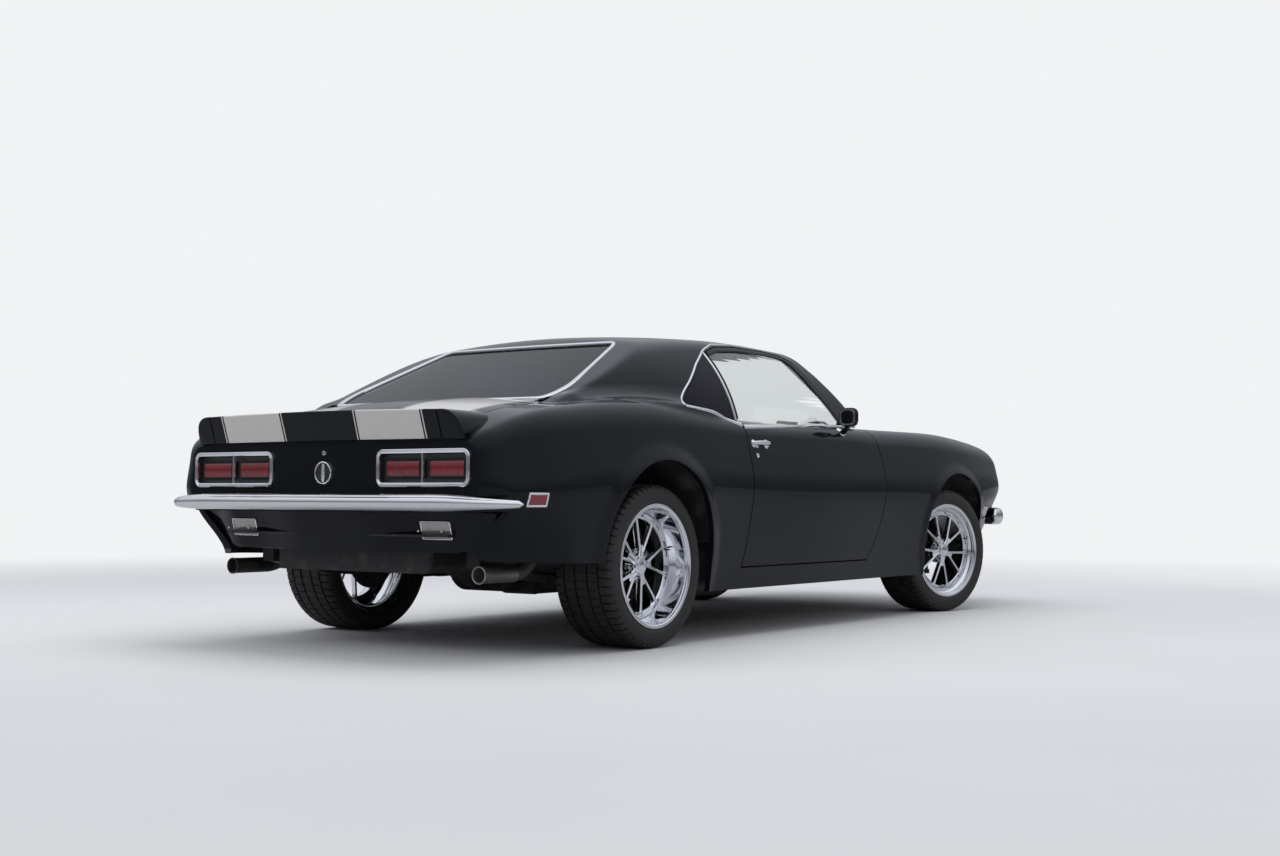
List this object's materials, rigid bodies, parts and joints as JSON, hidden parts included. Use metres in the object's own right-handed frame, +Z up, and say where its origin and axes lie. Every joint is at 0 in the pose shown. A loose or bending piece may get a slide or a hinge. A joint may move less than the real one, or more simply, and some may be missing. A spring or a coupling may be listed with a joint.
{
  "type": "muscle car",
  "caption": "Two-door hardtop muscle car with a ducktail spoiler, twin stripes, deep-dish wheels, a hollow cabin, opening doors, hood and deck lid, and steered front wheels.",
  "frame": {"origin": "on the ground under the middle of the car, at the bottom centre of its box", "axes": "+X towards the nose, +Y to the car's left, +Z up"},
  "size_m": [4.6899, 1.93, 1.3044],
  "materials": {
    "paint": "gloss black paint",
    "chrome": "polished chrome",
    "wheel_chrome": "chromed wheel",
    "tyre": "black tyre rubber",
    "clear_glass": "clear glass",
    "tinted_glass": "dark tinted glass",
    "black_metal": "satin black",
    "black_plastic": "black moulded trim",
    "red_lens": "red lens in a chrome bezel",
    "clear_lens": "clear ribbed lens",
    "cast_iron": "cast metal",
    "bare_steel": "bare steel",
    "seat_vinyl": "black vinyl"
  },
  "bodies": {
    "root": {"cowl": "paint", "dashboard": "black_plastic", "engine": "cast_iron", "exhaust": "bare_steel", "fender_left": "paint", "fender_right": "paint", "floor_pan": "black_metal", "front_bumper": "chrome", "front_valance": "black_metal", "fuel_cap": "chrome", "fuel_tank": "black_metal", "grille": "black_plastic", "header_panel": "paint", "headlamps": "clear_lens", "inner_fenders": "black_metal", "quarter_glass": "tinted_glass", "quarter_left": "paint", "quarter_right": "paint", "radiator": "black_metal", "rear_axle": "black_metal", "rear_bumper": "chrome", "rear_deck_panel": "paint", "rear_glass": "tinted_glass", "rear_valance": "black_metal", "rockers": "paint", "roof": "paint", "seats": "seat_vinyl", "small_lamps": "chrome", "spoiler_ends": "paint", "subframe": "black_metal", "tail_lamps": "red_lens", "tail_panel": "paint", "windshield": "clear_glass"},
    "door_left": {"door_left": "paint", "door_glass_left": "clear_glass", "door_fittings_left": "paint"},
    "door_right": {"door_right": "paint", "door_glass_right": "clear_glass", "door_fittings_right": "paint"},
    "hood": {"hood": "paint"},
    "deck_lid": {"deck_lid": "paint", "spoiler": "paint"},
    "knuckle_left": {"knuckle_left": "black_metal"},
    "knuckle_right": {"knuckle_right": "black_metal"},
    "wheel_front_left": {"tyre_front_left": "tyre", "rim_front_left": "wheel_chrome"},
    "wheel_front_right": {"tyre_front_right": "tyre", "rim_front_right": "wheel_chrome"},
    "wheel_rear_left": {"tyre_rear_left": "tyre", "rim_rear_left": "wheel_chrome"},
    "wheel_rear_right": {"tyre_rear_right": "tyre", "rim_rear_right": "wheel_chrome"}
  },
  "joints": [
    {"name": "door_left_hinge", "type": "hinge", "parent": "root", "child": "door_left", "pos_m": [0.543, 0.895, 0.6], "axis": [0, 0, -1], "range_deg": [0, 65]},
    {"name": "door_right_hinge", "type": "hinge", "parent": "root", "child": "door_right", "pos_m": [0.543, -0.895, 0.6], "axis": [0, 0, 1], "range_deg": [0, 65]},
    {"name": "hood_hinge", "type": "hinge", "parent": "root", "child": "hood", "pos_m": [0.65, 0, 0.956], "axis": [0, -1, 0], "range_deg": [0, 50]},
    {"name": "deck_lid_hinge", "type": "hinge", "parent": "root", "child": "deck_lid", "pos_m": [-1.76, 0, 0.975], "axis": [0, 1, 0], "range_deg": [0, 55]},
    {"name": "steer_left", "type": "hinge", "parent": "root", "child": "knuckle_left", "pos_m": [1.413, 0.712, 0.3], "axis": [0, 0, 1], "range_deg": [-16, 44]},
    {"name": "steer_right", "type": "hinge", "parent": "root", "child": "knuckle_right", "pos_m": [1.413, -0.712, 0.3], "axis": [0, 0, 1], "range_deg": [-16, 44]},
    {"name": "wheel_front_left_spin", "type": "hinge", "parent": "knuckle_left", "child": "wheel_front_left", "pos_m": [1.42183, 0.74742, 0.318], "axis": [0.2419, 0.9703, 0], "continuous": true},
    {"name": "wheel_front_right_spin", "type": "hinge", "parent": "knuckle_right", "child": "wheel_front_right", "pos_m": [1.40417, -0.74742, 0.318], "axis": [0.2419, 0.9703, 0], "continuous": true},
    {"name": "wheel_rear_left_spin", "type": "hinge", "parent": "root", "child": "wheel_rear_left", "pos_m": [-1.333, 0.7365, 0.318], "axis": [0, 1, 0], "continuous": true},
    {"name": "wheel_rear_right_spin", "type": "hinge", "parent": "root", "child": "wheel_rear_right", "pos_m": [-1.333, -0.7365, 0.318], "axis": [0, 1, 0], "continuous": true}
  ],
  "couplings": [
    {"joint": "steer_right", "follows": "steer_left", "ratio": 1}
  ]
}
